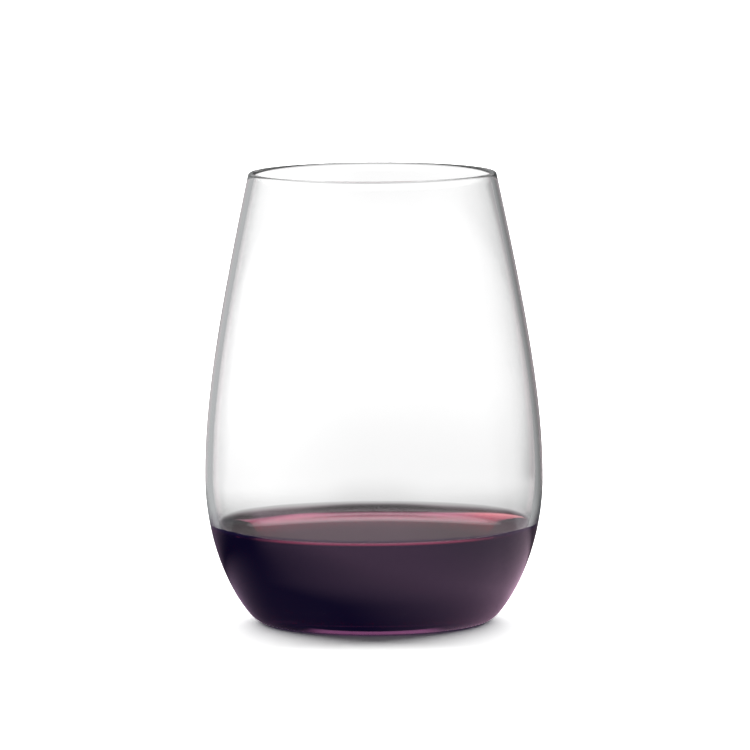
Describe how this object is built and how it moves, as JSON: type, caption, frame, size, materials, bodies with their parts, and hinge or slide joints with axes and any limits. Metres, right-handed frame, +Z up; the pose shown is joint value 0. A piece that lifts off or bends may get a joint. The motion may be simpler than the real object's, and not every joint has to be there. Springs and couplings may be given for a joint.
{
  "type": "stemless tasting glass",
  "caption": "Stemless tulip-shaped tasting glass with a low belly, rounded heel and fire-polished rim, holding a short pour of red wine.",
  "frame": {"origin": "on the table, at the centre of the foot ring", "axes": "+Z up along the glass's axis of revolution, towards the rim; -Y faces the picture's camera"},
  "size_m": [0.0734, 0.0734, 0.098],
  "materials": {
    "clear_glass": "polished",
    "wine": "polished"
  },
  "bodies": {
    "root": {"glass_bowl": "clear_glass", "red_wine": "wine"}
  },
  "joints": []
}
